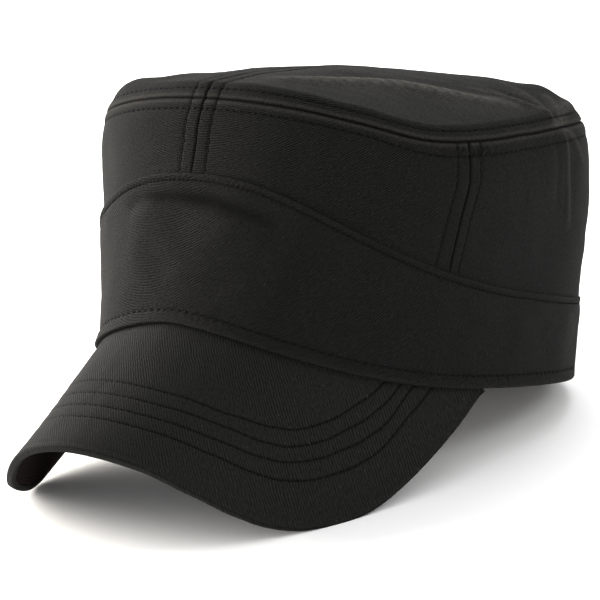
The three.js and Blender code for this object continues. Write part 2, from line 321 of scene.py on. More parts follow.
side_creases = [
    ([(98.5, 105), (100, 100), (102.5, 93.9), (103.5, 85.5), (105.8, 74), (107, 58)], 1.7, 0.8),
    ([(98.5, 103), (103, 97.5), (108.5, 93), (114.8, 84)], 1.7, 0.6),
]
crown_folds = [
    ([(-54, 92), (-44, 80), (-42, 66)], 9.0, 0.75),
    ([(123, 57), (143, 57)], 5.0, -0.6),
    *side_creases,
    ([(97, 98), (98.5, 88), (99.5, 78), (101, 64)], 2.2, -0.5),
    ([(36, 78), (50, 70), (62, 60)], 6.0, -0.5),
    ([(20, 86), (27, 76)], 5.0, -0.4),
    ([(80, 62), (96, 56)], 7.0, 0.5),
    ([(150, 84), (165, 70), (170, 50)], 8.0, -0.8),
    ([(-150, 80), (-140, 62), (-146, 46)], 8.0, -0.7),
    ([(-100, 84), (-92, 66), (-96, 50)], 7.0, -0.6),
    ([(-60, 86), (-52, 74), (-50, 64)], 6.0, -0.5),
]


# The centre front seam leans a little towards the wearer's right as it comes down
def front_seam(drop):
    return np.interp(drop, [0, 4, 12, 28], [0.0, -0.7, -1.5, -1.9])


# The turn at which the front is this far across
def turn_across(x):
    return np.degrees(np.sign(x) * np.arcsin((np.abs(x) / crown_half_width) ** (crown_oval_power / 2)))


# The row below the top seam runs a little lower round the sides
def wall_row_at(turn):
    return wall_top_row + 1.5 * np.clip((fold_turn(turn) - 42) / 22, 0, 1)


# The rows beside the side seam spread apart on its front side and close up on its back side
def side_row_at(turn, drop):
    down = np.clip(drop / 45, 0, 1)
    return side_row + np.where(fold_turn(turn) < side_seam(drop), 1.3, -1.0) * down


# The cloth is painted darker in a seam and under a row of stitches: painted shade where it is drawn in
def painted_seam_shade(away):
    return -0.9 * np.exp(-((away / 0.4) ** 2))


def painted_row_shade(away, depth=0.25):
    return -depth * np.exp(-((away / 0.5) ** 2))


# It has greyed along the edge that stands up beside the top seam
def edge_wear(away):
    return 0.25 * np.exp(-(((away - 1.3) / 0.8) ** 2))


# How far it is round the wall for a degree at this place
def pace_round(turn, drop):
    return np.linalg.norm(crown_point(turn + 0.5, drop, 0.0) - crown_point(turn - 0.5, drop, 0.0), axis=-1)


# Distances from the centre front seam and from the nearer side seam
def seams_near(turn, drop):
    point = crown_point(turn, drop, wall_outer)
    from_front = np.where(point[..., 1] < 0, np.abs(point[..., 0] - front_seam(drop)), 99.0)
    return from_front, np.abs(fold_turn(turn) - side_seam(drop)) * pace_round(side_seam_turn, drop)


# Greying along the top seam's edge, painted shade in the seams and under the rows of stitches, and painted
# highlights along the side creases
def wall_wear_and_painted_light(turn, drop):
    from_front, from_side = seams_near(turn, drop)
    z = crown_point(turn, drop, wall_outer)[..., 2]
    wear_and_painted_light = edge_wear(drop) + painted_seam_shade(drop) + painted_row_shade(drop - wall_row_at(turn))
    wear_and_painted_light = wear_and_painted_light + painted_seam_shade(from_front) + painted_row_shade(from_front - front_row)
    wear_and_painted_light = wear_and_painted_light + painted_seam_shade(from_side) + painted_row_shade(from_side - side_row_at(turn, drop))
    # Painted highlights along the side creases
    return np.clip(wear_and_painted_light + folds([(line, 1.2, 0.35) for line, _, _ in side_creases], turn, z), -1, 1)


# How far the outer side of the wall stands off its plain shape. Inside the lap it is pressed to the band.
lap_press = 0.22


def wall_lift(turn, drop):
    point = crown_point(turn, drop, wall_outer)
    z = point[..., 2]
    along = girth_at(turn)
    from_front, from_side = seams_near(turn, drop)
    gather = 0.04 + 0.3 * np.exp(-(((fold_turn(turn) - 76) / 24) ** 2))
    lift = topstitched(drop, along, wall_row_at(turn), gather, 11)
    lift = lift + topstitched(from_front, drop, front_row, 0.04, 21)
    lift = lift + topstitched(from_side, drop, side_row_at(turn, drop), 0.04, 31)
    soft = folds(crown_folds, turn, z) + 0.2 * unevenness(along, drop, 34, 41)
    soft = soft + 0.06 * unevenness(along, drop, 12, 42)
    lift = lift + soft * np.clip(0.3 + drop / 9, 0, 1)
    over_band = np.clip((z - band_top_height(turn) + 2) / 6, 0, 1)
    return lift * over_band + lap_press * (1 - over_band)


# The twill's ribs run level where the cloth lies straight on the cap, and climb away from there, within this
# radius up to the steepest angle. The climb is added up in steps of half a millimetre.
def rib_climb(along, radius, steepest):
    span = np.linspace(0, 400, 801)
    slope = np.tan(math.radians(steepest) * np.tanh(span / radius / math.radians(steepest)))
    climbed = np.concatenate([[0], np.cumsum((slope[1:] + slope[:-1]) / 4)])
    return np.interp(np.abs(along), span, climbed)


# Tips points of the worn cap back onto the floor
def to_world(points):
    x, y, z = np.moveaxis(np.asarray(points, float), -1, 0)
    cosine, sine = math.cos(rest_tilt), math.sin(rest_tilt)
    tipped = np.stack([x, y * cosine + z * sine, z * cosine - y * sine], -1)
    return (tipped + rest_place) / 1000


# The same, with what would reach below the floor pressed flat on it
def onto_floor(points):
    placed = to_world(points)
    placed[..., 2] = np.maximum(placed[..., 2], 0)
    return placed.tolist()


def place_in_scene(name, data):
    thing = bpy.data.objects.new(name, data)
    bpy.context.scene.collection.objects.link(thing)
    return thing


# A closed sheet of cloth from a grid of points on its outer side and another on its inner side. The cloth
# grids give each point's place on the flat cloth in millimetres. The wear and painted light value is
# positive where the cloth has greyed and where highlights are painted, down to -1 where shade is painted.
# Corners closer than the weld distance, in metres, become one.
weld_distance = 2e-6
sharp_edge = math.radians(62)


def cloth_sheet(name, outer, inner, outer_cloth, inner_cloth, wear_and_painted_light, around=False):
    rows, columns = outer.shape[:2]
    inner_rows = inner.shape[0]
    places = np.arange((rows + inner_rows) * columns).reshape(rows + inner_rows, columns)
    nexts = np.roll(places, -1, axis=1)
    if not around:
        places, nexts = places[:, :-1], nexts[:, :-1]
    rings = list(range(rows)) + list(range(rows + inner_rows - 1, rows - 1, -1)) + [0]
    quads = [
        np.stack([places[a], nexts[a], nexts[b], places[b]], -1) for a, b in zip(rings[:-1], rings[1:])
    ]
    faces = np.concatenate(quads).tolist()
    if not around:
        full = np.arange((rows + inner_rows) * columns).reshape(rows + inner_rows, columns)
        faces.append([int(full[ring, 0]) for ring in rings[:-1]])
        faces.append([int(full[ring, -1]) for ring in reversed(rings[:-1])])
    points = np.concatenate([outer.reshape(-1, 3), inner.reshape(-1, 3)])
    corners = points[np.concatenate(quads)]
    volume = np.einsum("ij,ij->i", corners[:, 0], np.cross(corners[:, 1], corners[:, 2])).sum()
    volume += np.einsum("ij,ij->i", corners[:, 0], np.cross(corners[:, 2], corners[:, 3])).sum()
    if volume < 0:
        faces = [face[::-1] for face in faces]
    mesh = bpy.data.meshes.new(name)
    mesh.from_pydata(onto_floor(points), [], faces)
    cloth = np.concatenate([outer_cloth.reshape(-1, 2), inner_cloth.reshape(-1, 2)])
    corner_points = np.zeros(len(mesh.loops), np.int32)
    mesh.loops.foreach_get("vertex_index", corner_points)
    cloth_map = mesh.uv_layers.new(name="cloth_mm")
    cloth_map.data.foreach_set("uv", cloth[corner_points].astype(np.float32).ravel())
    values = np.concatenate([wear_and_painted_light.ravel(), np.zeros(inner_rows * columns)])
    mesh.attributes.new("wear_and_painted_light", "FLOAT", "POINT").data.foreach_set("value", values.astype(np.float32))
    shaping = bmesh.new()
    shaping.from_mesh(mesh)
    bmesh.ops.remove_doubles(shaping, verts=shaping.verts, dist=weld_distance)
    shaping.to_mesh(mesh)
    shaping.free()
    mesh.shade_smooth()
    mesh.set_sharp_from_angle(angle=sharp_edge)
    return place_in_scene(name, mesh)


# One capsule of thread for each stitch along a line of points on the cloth. It covers the middle two thirds
# of the stitch's length and dips into a needle hole at each end.
def thread_row(path, outward, length, thickness, slant):
    run = run_along(path)
    count = max(int(run[-1] / length), 1)
    shares = np.linspace(0, 1, 7)
    starts = (np.arange(count)[:, None] + 0.17 + 0.66 * shares[None, :]) * (run[-1] / count)
    centre = np.stack([np.interp(starts, run, path[:, axis]) for axis in range(3)], -1)
    up = np.stack([np.interp(starts, run, outward[:, axis]) for axis in range(3)], -1)
    up /= np.linalg.norm(up, axis=-1, keepdims=True)
    heading = np.gradient(centre, axis=1)
    heading /= np.linalg.norm(heading, axis=-1, keepdims=True)
    across = np.cross(up, heading)
    radius = thickness / 2 * np.sqrt(np.clip(1 - np.abs(2 * shares - 1) ** 4, 0.03, 1))
    height = thickness * (0.42 - 1.1 * np.abs(2 * shares - 1) ** 3)
    centre = centre + up * height[:, None] + across * (slant * (shares - 0.5))[:, None]
    angles = np.arange(6) * math.pi / 3
    ring = up[:, :, None] * np.cos(angles)[:, None] + across[:, :, None] * np.sin(angles)[:, None]
    return centre[:, :, None] + ring * radius[:, None, None]


def thread_mesh(name, rows):
    capsules = np.concatenate(rows)
    count, stations, sides = capsules.shape[:3]
    first = np.arange(count * stations * sides).reshape(count, stations, sides)
    after = np.roll(first, -1, axis=2)
    quads = np.stack([first[:, :-1], after[:, :-1], after[:, 1:], first[:, 1:]], -1).reshape(-1, 4)
    ends = np.concatenate([first[:, 0, ::-1], first[:, -1]])
    mesh = bpy.data.meshes.new(name)
    mesh.from_pydata(onto_floor(capsules.reshape(-1, 3)), [], quads.tolist() + ends.tolist())
    mesh.shade_smooth()
    return place_in_scene(name, mesh)


# An sRGB hex colour as linear light
def linear(hex_colour):
    channels = [int(hex_colour[at : at + 2], 16) / 255 for at in (1, 3, 5)]
    return [c / 12.92 if c <= 0.04045 else ((c + 0.055) / 1.055) ** 2.4 for c in channels] + [1.0]


def add_node(tree, kind, settings=None, links=None):
    made = tree.nodes.new("ShaderNode" + kind)
    for name, value in (settings or {}).items():
        if isinstance(name, int) or name in made.inputs:
            made.inputs[name].default_value = value
        else:
            setattr(made, name, value)
    for name, source in (links or {}).items():
        tree.links.new(source, made.inputs[name])
    return made


# Cotton drill, a warp-faced twill: fine slanting ribs with painted shade in the hollows between them, a
# fluffy surface that goes paler where it is seen edge on, greyed edges and ridge, painted highlights along
# the crests of folds, painted shade in seams, under rows of stitches and in creases, and a few specks of
# lint. The real ribs are about 0.6 mm apart, which is too fine to show, so they are drawn at the given wider
# spacing. The relief is the height of ribs and slubs, also in millimetres.
# The near black of the painted shade in seams, under rows of stitches and in creases
painted_shade_black = "#030303"
lint_grey = "#565552"
fluff_grey = "#c9c6c0"

# Noise scales, which are so many to a millimetre of cloth: the ribs waver over about 8 mm, slubs in the yarn
# are 1.2 by 0.7 mm, the nap lies flat or stands up in patches of about 30 mm, and a speck of lint is 0.8 mm
waver_scale = 0.13
slub_scale = (0.8, 1.5, 1.0)
patch_scale = 0.035
lint_scale = 1.3


def cotton_drill(name, face, painted_hollow_shade, wear_and_highlight_grey, rib_spacing, relief, shine=0.05):
    material = bpy.data.materials.new(name)
    material.use_nodes = True
    tree = material.node_tree
    shader = tree.nodes["Principled BSDF"]
    cloth = add_node(tree, "UVMap", {"uv_map": "cloth_mm"}).outputs["UV"]
    place = add_node(tree, "SeparateXYZ", {}, {"Vector": cloth})
    waver = add_node(
        tree, "TexNoise", {"Scale": waver_scale, "Detail": 3.0, "Roughness": 0.6}, {"Vector": cloth}
    )
    bent = add_node(
        tree, "Math", {"operation": "MULTIPLY_ADD", 1: 1.6}, {0: waver.outputs["Fac"], 2: place.outputs["Y"]}
    )
    ribs_per_mm = 2 * math.pi / rib_spacing
    phase = add_node(tree, "Math", {"operation": "MULTIPLY", 1: ribs_per_mm}, {0: bent.outputs[0]})
    ribs = add_node(tree, "Math", {"operation": "SINE"}, {0: phase.outputs[0]})
    long_way = add_node(tree, "Mapping", {"vector_type": "POINT", "Scale": slub_scale}, {"Vector": cloth})
    slubs = add_node(
        tree, "TexNoise", {"Scale": 1.0, "Detail": 2.0, "Roughness": 0.7}, {"Vector": long_way.outputs[0]}
    )
    patches = add_node(tree, "TexNoise", {"Scale": patch_scale, "Detail": 2.0}, {"Vector": cloth})
    strength = add_node(
        tree,
        "MapRange",
        {"From Min": 0.35, "From Max": 0.65, "To Min": 0.35, "To Max": 1.0},
        {"Value": patches.outputs["Fac"]},
    )
    shown = add_node(tree, "Math", {"operation": "MULTIPLY"}, {0: ribs.outputs[0], 1: strength.outputs[0]})
    grain = add_node(
        tree, "Math", {"operation": "MULTIPLY_ADD", 1: 4.0, 2: -2.0}, {0: slubs.outputs["Fac"]}
    )
    height = add_node(tree, "Math", {"operation": "ADD"}, {0: shown.outputs[0], 1: grain.outputs[0]})
    bump = add_node(
        tree, "Bump", {"Strength": 1.0, "Distance": relief / 1000}, {"Height": height.outputs[0]}
    )
    tree.links.new(bump.outputs[0], shader.inputs["Normal"])
    # The colour follows the height, so the hollows of ribs and slubs take the darker colour: a painted shade
    lit = add_node(
        tree,
        "MapRange",
        {"From Min": -1.1, "From Max": 1.1, "To Min": 0.0, "To Max": 1.0},
        {"Value": height.outputs[0]},
    )
    weave_with_hollow_shade = add_node(
        tree, "Mix", {"data_type": "RGBA", 6: linear(painted_hollow_shade), 7: linear(face)}, {0: lit.outputs[0]}
    )
    # The per-point value: positive greys the cloth for wear and paints highlights on crease crests, negative
    # paints shade
    wear_and_painted_light = add_node(tree, "Attribute", {"attribute_name": "wear_and_painted_light"})
    rubbed_and_highlit = add_node(
        tree,
        "Math",
        {"operation": "MULTIPLY", "use_clamp": True},
        {0: wear_and_painted_light.outputs["Fac"], 1: slubs.outputs["Fac"]},
    )
    # Greying for wear, which on the top's ridge and creases is also a painted highlight
    greyed_and_highlit = add_node(
        tree, "Mix", {"data_type": "RGBA", 7: linear(wear_and_highlight_grey)}, {0: rubbed_and_highlit.outputs[0], 6: weave_with_hollow_shade.outputs[2]}
    )
    # Painted shade where the value is negative
    painted_shade_share = add_node(
        tree,
        "MapRange",
        {"From Min": 0.0, "From Max": -1.0, "To Min": 0.0, "To Max": 0.85},
        {"Value": wear_and_painted_light.outputs["Fac"]},
    )
    with_painted_shade = add_node(
        tree,
        "Mix",
        {"data_type": "RGBA", 7: linear(painted_shade_black)},
        {0: painted_shade_share.outputs[0], 6: greyed_and_highlit.outputs[2]},
    )
    lint = add_node(tree, "TexNoise", {"Scale": lint_scale, "Detail": 0.0}, {"Vector": cloth})
    speck = add_node(
        tree,
        "MapRange",
        {"From Min": 0.79, "From Max": 0.86, "To Min": 0.0, "To Max": 0.25},
        {"Value": lint.outputs["Fac"]},
    )
    dusted = add_node(
        tree, "Mix", {"data_type": "RGBA", 7: linear(lint_grey)}, {0: speck.outputs[0], 6: with_painted_shade.outputs[2]}
    )
    tree.links.new(dusted.outputs[2], shader.inputs["Base Color"])
    rough = add_node(
        tree,
        "MapRange",
        {"From Min": -1.5, "From Max": 1.5, "To Min": 0.95, "To Max": 0.78},
        {"Value": height.outputs[0]},
    )
    tree.links.new(rough.outputs[0], shader.inputs["Roughness"])
    shader.inputs["Specular IOR Level"].default_value = shine
    shader.inputs["Sheen Weight"].default_value = shine * 0.4
    shader.inputs["Sheen Roughness"].default_value = 0.4
    shader.inputs["Sheen Tint"].default_value = linear(fluff_grey)
    return material


# Its pale grey serves the greyed edges and ridge and the painted highlights along the creases
crown_drill = cotton_drill("black_cotton_drill_crown", "#1f1f1e", "#030303", "#5c5953", 0.9, 0.1)


# Core-spun polyester sewing thread, two plies twisted: near black and a little darker than the cloth, so a
# stitch shows as a dash. The twist is drawn as a fine grain of about 0.4 mm, or 2600 to a metre, and its low
# places are painted darker, a painted shade.
sewing_thread = bpy.data.materials.new("core_spun_polyester_thread")
sewing_thread.use_nodes = True
thread_tree = sewing_thread.node_tree
thread_shader = thread_tree.nodes["Principled BSDF"]
thread_place = add_node(thread_tree, "TexCoord").outputs["Object"]
thread_twist = add_node(thread_tree, "TexNoise", {"Scale": 2600.0, "Detail": 1.0}, {"Vector": thread_place})
thread_bump = add_node(
    thread_tree, "Bump", {"Strength": 0.6, "Distance": 0.00008}, {"Height": thread_twist.outputs["Fac"]}
)
thread_colour_and_twist_shade = add_node(
    thread_tree,
    "Mix",
    {"data_type": "RGBA", 6: linear("#020202"), 7: linear("#0b0b0a")},
    {0: thread_twist.outputs["Fac"]},
)
thread_tree.links.new(thread_bump.outputs[0], thread_shader.inputs["Normal"])
thread_tree.links.new(thread_colour_and_twist_shade.outputs[2], thread_shader.inputs["Base Color"])
thread_shader.inputs["Roughness"].default_value = 0.6
thread_shader.inputs["Specular IOR Level"].default_value = 0.05


# The turns and drops of a wall panel's points, from its first seam to its second: rows close together in the
# strip below the top seam, and evenly spread rows from there to its lower edge
fine_strip = 8.0
middle_drop = 30.0


def panel_grid(start, end, shares, near, far, gap):
    middle = start(middle_drop, gap) + shares * (end(middle_drop, gap) - start(middle_drop, gap))
    low = fine_strip + far[:, None] * (lowest_drop(middle) - fine_strip)
    drops = np.concatenate([near[:, None] + 0 * middle, low])
    return start(drops, gap) + shares * (end(drops, gap) - start(drops, gap)), drops


# The panels are cut with the straight of the cloth at the centre front, and the ribs bend away from level
# within the given distance
rib_bend = 50
rib_steepest = 42


def panel_cloth(turn, drop):
    along = girth_at(turn)
    return np.stack([along, -drop - rib_climb(along, rib_bend, rib_steepest)], -1)


near_rows = np.linspace(slit / 2, fine_strip, 23)
far_rows = np.linspace(0, 1, 52)[1:]
inner_near = np.array([inner_slit / 2, fine_strip])
inner_far = np.linspace(0, 1, 9)[1:]
front_width = girth_at(side_seam_turn)
front_places = graded(0.0, front_width, [0.0, front_width], 7.5, 0.4, 1.1)
front_shares = turn_at(front_places) / side_seam_turn

for side, name, node in (
    (1, "cloth_front_left", "crown_front_left"),
    (-1, "cloth_front_right", "crown_front_right"),
):

    def front_start(drop, gap):
        return turn_across(side * front_seam(drop) + gap / 2)

    def front_end(drop, gap):
        return side_seam(drop) - math.degrees(gap / 2 / crown_half_width)

    turns, drops = panel_grid(front_start, front_end, front_shares, near_rows, far_rows, slit)
    inner_turns, inner_drops = panel_grid(
        front_start, front_end, front_shares, inner_near, inner_far, inner_slit
    )
    turns, inner_turns = side * turns, side * inner_turns
    panel = cloth_sheet(
        name,
        crown_point(turns, drops, wall_outer + wall_lift(turns, drops)),
        crown_point(inner_turns, inner_drops, wall_outer - wall_cloth),
        panel_cloth(turns, drops),
        panel_cloth(inner_turns, inner_drops),
        wall_wear_and_painted_light(turns, drops),
    )
    panel.data.materials.append(crown_drill)
    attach(panel, "root")
    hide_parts(node)


# The line of a row of stitches on the cloth, and the way out from the cloth along it
def row_on_wall(turn, drop):
    lift = wall_lift(turn, drop)
    path = crown_point(turn, drop, wall_outer + lift)
    return path, crown_point(turn, drop, wall_outer + lift + 1) - path


# The turn at which a row beside the centre front seam lies, found among turns near the front
def front_row_turn(drop, distance):
    tried = np.linspace(-25, 25, 4001)
    wanted = distance + front_seam(drop)
    across = [crown_point(tried, d, wall_outer)[..., 0] for d in drop]
    return np.array([np.interp(w, x, tried) for w, x in zip(wanted, across)])


crown_rows = []
row_start = 0.8
front_drops = np.linspace(row_start, lowest_drop(0.0) - band_lap, 90)
seam_drops = np.linspace(row_start, lowest_drop(side_seam_turn) - band_lap, 120)
seam_turns = side_seam(seam_drops)
for side in (1, -1):
    crown_rows.append(row_on_wall(front_row_turn(front_drops, side * front_row), front_drops))
    for step in (1, -1):
        away = side_row_at(seam_turns + step, seam_drops) / pace_round(seam_turns, seam_drops)
        crown_rows.append(row_on_wall(side * (seam_turns + step * away), seam_drops))
round_turns = turn_at(np.linspace(girth_table[0], girth_table[-1], 1800))
crown_rows.append(row_on_wall(round_turns, wall_row_at(round_turns)))
crown_threads = thread_mesh(
    "crown_stitches",
    [thread_row(*row, stitch_length, thread_thickness, stitch_slant) for row in crown_rows],
)
crown_threads.data.materials.append(sewing_thread)
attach(crown_threads, "root")


# Back wall panel
# One piece of the same drill that runs round the back from side seam to side seam, joined to the front
# panels by pressed-open topstitched seams. It falls softly over the wearer's head behind.
whole_girth = 2 * girth_table[-1]
back_end = whole_girth - front_width
back_places = graded(front_width, back_end, [front_width, back_end], 7.5, 0.4, 1.15)
back_turns = np.where(
    back_places > girth_table[-1], 360 + turn_at(back_places - whole_girth), turn_at(back_places)
)
back_shares = (back_turns - back_turns[0]) / (back_turns[-1] - back_turns[0])


def back_start_turn(drop, gap):
    return side_seam(drop) + math.degrees(gap / 2 / crown_half_width)


def back_end_turn(drop, gap):
    return 360 - back_start_turn(drop, gap)


# Its ribs climb evenly, at about 36 degrees
back_mm_per_degree = 1.58
back_rib_climb = 0.72


def back_cloth(turn, drop):
    along = turn * back_mm_per_degree
    return np.stack([along, -drop - back_rib_climb * along], -1)


turns, drops = panel_grid(back_start_turn, back_end_turn, back_shares, near_rows, far_rows, slit)
inner_turns, inner_drops = panel_grid(
    back_start_turn, back_end_turn, back_shares, inner_near, inner_far, inner_slit
)
around_turns = np.where(turns > 180, turns - 360, turns)
back_panel = cloth_sheet(
    "cloth_back",
    crown_point(turns, drops, wall_outer + wall_lift(around_turns, drops)),
    crown_point(inner_turns, inner_drops, wall_outer - wall_cloth),
    back_cloth(turns, drops),
    back_cloth(inner_turns, inner_drops),
    wall_wear_and_painted_light(around_turns, drops),
)
back_panel.data.materials.append(crown_drill)
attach(back_panel, "root")
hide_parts("crown_back")


# Flat top
# Two half ovals of the drill joined down the middle, front to back, with a topstitched seam. They are sewn
# to the walls right round, and the turned-in edges are stitched down on both sides of that seam.
dome_rise = 11.5
dome_power = 1.94
dome_run = 80.0
top_row = 4.4
top_cloth = 1.3
dome_slope = dome_rise * dome_power / (crown_half_width - edge_inset)
edge_end_lean = math.degrees(math.atan(edge_rise / (edge_inset * dome_slope)))
rim_arc = np.interp(edge_end_lean, edge_leans, edge_arc) - seam_arc
dome_base = (edge_point(0.0, edge_end_lean, 0.0)[2] + edge_point(180.0, edge_end_lean, 0.0)[2]) / 2

# The long soft ridge over the left of the top and the creases that meet at the back corner, as places across
# and along the cap. The ridge is rubbed grey and also carries a painted highlight, and the corner creases
# carry painted highlights.
top_ridge = [
    (16, -75),
    (23, -68),
    (29, -61),
    (34.4, -49.6),
    (38.8, -37),
    (44, -25.5),
    (52.5, -18),
    (60, -8.7),
    (67, 1.5),
    (76, 8.7),
]
corner_creases = [
    ([(50, 4), (58.6, 8.1), (67.9, 12.2), (74.7, 15.5), (81.7, 19.1), (87, 22)], 1.5, 0.9),
    ([(50, 27), (58.4, 25.8), (69.3, 23.2), (80, 18.5), (87, 18)], 1.5, 0.8),
    ([(64, 38), (73.3, 31.3), (79, 25), (84, 20)], 1.5, 0.7),
    ([(66, 50), (72.8, 41.3), (79.8, 27.9), (84, 20)], 1.8, 0.7),
]
top_folds = [
    (top_ridge, 6.0, 2.2),
    ([(10, -66), (18, -60), (27, -43), (34, -22), (44, -13), (54, -2), (64, 10)], 6.0, -1.1),
    ([(54, 15), (64, 18), (74, 19), (83, 20)], 2.0, -0.8),
    ([(58, 33), (70, 28), (79, 22)], 1.8, -0.6),
    *corner_creases,
    ([(-50, -30), (-30, -10), (-34, 20), (-50, 40)], 8.0, -0.7),
    ([(-70, 0), (-55, 10), (-48, 30)], 4.0, 0.6),
    ([(20, 40), (34, 52), (50, 56)], 6.0, -0.7),
]

# Soft swells of the top: place, half widths and height
top_swells = [
    (24, 20, 20, 20, 0.5),
    (-8, -30, 20, 22, -0.6),
    (48, 38, 22, 22, 2.1),
    (58, 45, 7.5, 7.5, 2.2),
    (-30, -68, 8, 8, 1.2),
]

# The soft edge's swell near the front on the right, as turn and distance in from the seam
edge_bulge = (-33, 11, 11, 6)
edge_bulge_height = 3.2


# A point of the top at a distance in from the seam: over the soft edge first, then to the middle of the dome
def top_point(turn, inward, outset):
    turn, inward = np.broadcast_arrays(np.asarray(turn, float), inward)
    lean = np.interp(seam_arc + inward, edge_arc, edge_leans)
    rim = edge_point(turn, np.minimum(lean, edge_end_lean), outset)
    share = np.clip(1 - (inward - rim_arc) / dome_run, 0, 1)
    edge = edge_point(turn, edge_end_lean, outset)
    level = dome_base + outset + (edge[..., 2] - dome_base - outset) * share * share
    dome = level + dome_rise * (1 - share**dome_power)
    on_dome = np.stack([edge[..., 0] * share, edge[..., 1] * share, dome], -1)
    return np.where((inward > rim_arc)[..., None], on_dome, rim)


# How far the outer side of the top stands off its plain shape
def top_lift(turn, inward):
    point = top_point(turn, inward, wall_outer)
    x, y = point[..., 0], point[..., 1]
    lift = topstitched(inward, girth_at(turn), top_row, 0.03, 51)
    lift = lift + topstitched(np.abs(x), y, front_row, 0.03, 61)
    soft = folds(top_folds, x, y, 1.0) + edge_bulge_height * swell(turn, inward, *edge_bulge)
    for *place, height in top_swells:
        soft = soft + height * swell(x, y, *place)
    calm = np.clip(1 - np.maximum(inward - 60, 0) / 20, 0, 1)
    soft = soft + 0.25 * unevenness(x, y, 38, 71) + 0.07 * unevenness(x, y, 13, 72) * calm
    return lift + soft * np.clip(0.3 + inward / 9, 0, 1)


# Greying along the top seam's edge, painted shade in the seams and under the rows, the ridge rubbed grey
# with a painted highlight, and painted highlights along the corner creases
def top_wear_and_painted_light(turn, inward):
    place = top_point(turn, inward, wall_outer)
    x, y = place[..., 0], place[..., 1]
    # The ridge is both greyed and painted with a highlight, and the corner creases get painted highlights
    worn_and_highlit_lines = [(top_ridge, 3.4, 0.75), (top_ridge, 10.0, 0.35)]
    worn_and_highlit_lines += [(line, 2.0, 0.38) for line, _, _ in corner_creases]
    patchy = 0.8 + 0.3 * unevenness(x, y * 1.6, 5, 95)
    wear_and_painted_light = edge_wear(inward) + painted_seam_shade(inward) + painted_row_shade(inward - top_row)
    wear_and_painted_light = wear_and_painted_light + folds(worn_and_highlit_lines, x, y, 1.0) * patchy
    return np.clip(wear_and_painted_light + painted_seam_shade(np.abs(x)) + painted_row_shade(np.abs(x) - front_row), -1, 1)


top_inward = np.concatenate(
    [
        near_rows,
        np.linspace(fine_strip, rim_arc, 3)[1:],
        rim_arc + np.linspace(0, dome_run, 76)[1:],
    ]
)
inner_inward = np.array([inner_slit / 2, 4.0, rim_arc, *(rim_arc + np.linspace(0, dome_run, 9)[1:])])
top_places = graded(0.0, girth_table[-1], [0.0, girth_table[-1]], 10.0, 0.45, 1.1)
top_turns = turn_at(top_places)


# The place on the flat cloth, with the steep rim laid out level and the ribs running slantwise
top_rib_across = 0.62
top_rib_along = 0.78


def top_cloth_place(turn, inward):
    edge = edge_point(turn, edge_end_lean, wall_outer)
    share = 1 - (inward - rim_arc) / dome_run
    x, y = edge[..., 0] * share, edge[..., 1] * share
    return np.stack([top_rib_across * x + top_rib_along * y, top_rib_along * x - top_rib_across * y], -1)


# Keeps each half on its side of the middle seam
def beside_middle(point, side, gap):
    squeeze = 1 - gap / 2 / crown_half_width
    return point * (squeeze, 1, 1) + (side * gap / 2, 0, 0)


for side, name, node in (
    (1, "cloth_top_left", "crown_top_left"),
    (-1, "cloth_top_right", "crown_top_right"),
):
    turns, inwards = np.meshgrid(side * top_turns, top_inward)
    inner_turns, inner_inwards = np.meshgrid(side * top_turns, inner_inward)
    outer = beside_middle(top_point(turns, inwards, wall_outer + top_lift(turns, inwards)), side, slit)
    inner = beside_middle(top_point(inner_turns, inner_inwards, wall_outer - top_cloth), side, inner_slit)
    flat = top_cloth_place(turns, inwards)
    flat_inner = top_cloth_place(inner_turns, inner_inwards)
    half = cloth_sheet(name, outer, inner, flat, flat_inner, top_wear_and_painted_light(turns, inwards))
    half.data.materials.append(crown_drill)
    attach(half, "root")
    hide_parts(node)


def row_on_top(turn, inward):
    lift = top_lift(turn, inward)
    path = top_point(turn, inward, wall_outer + lift)
    return path, top_point(turn, inward, wall_outer + lift + 1) - path


# A row beside the middle seam: up the soft edge at the front, over the dome and down the edge behind
def middle_row(side):
    rim_steps = np.linspace(row_start, rim_arc, 30)
    tried = np.linspace(0, 25, 2001)
    across = [top_point(tried, step, wall_outer)[..., 0] for step in rim_steps]
    front = np.array([np.interp(front_row, x, tried) for x in across])
    dome_turns = np.linspace(front[-1], 180 - front[-1], 700)
    edge_x = edge_point(dome_turns, edge_end_lean, wall_outer)[..., 0]
    dome_inward = rim_arc + dome_run * (1 - front_row / edge_x)
    turn = np.concatenate([front, dome_turns[1:-1], 180 - front[::-1]])
    inward = np.concatenate([rim_steps, dome_inward[1:-1], rim_steps[::-1]])
    return row_on_top(side * turn, inward)


top_rows = [row_on_top(round_turns, 0 * round_turns + top_row), middle_row(1), middle_row(-1)]
top_threads = thread_mesh(
    "top_stitches",
    [thread_row(*row, stitch_length, thread_thickness, stitch_slant) for row in top_rows],
)
top_threads.data.materials.append(sewing_thread)
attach(top_threads, "root")


# Band
# A wide strip of the same drill, cut with a wave-shaped upper edge that is turned in and stitched down over
# the wall panels. Its lower edge is a stitched hem that arches over the peak and stands out a little there.
band_outer = 0.8
band_inner = -0.4
peak_half_turn = 80.2
peak_arch = 19.6
peak_arch_power = 0.78
hem_height = 6.0
hem_flare = 1.2
hem_fade = 24.0
band_top_row = 2.5
band_top_stitch = 2.1
band_top_slant = 0.5
hem_row = 4.66
hem_stitch = 3.4
hem_slant = 0.15
top_rounding = 0.6
hem_rounding = 0.9

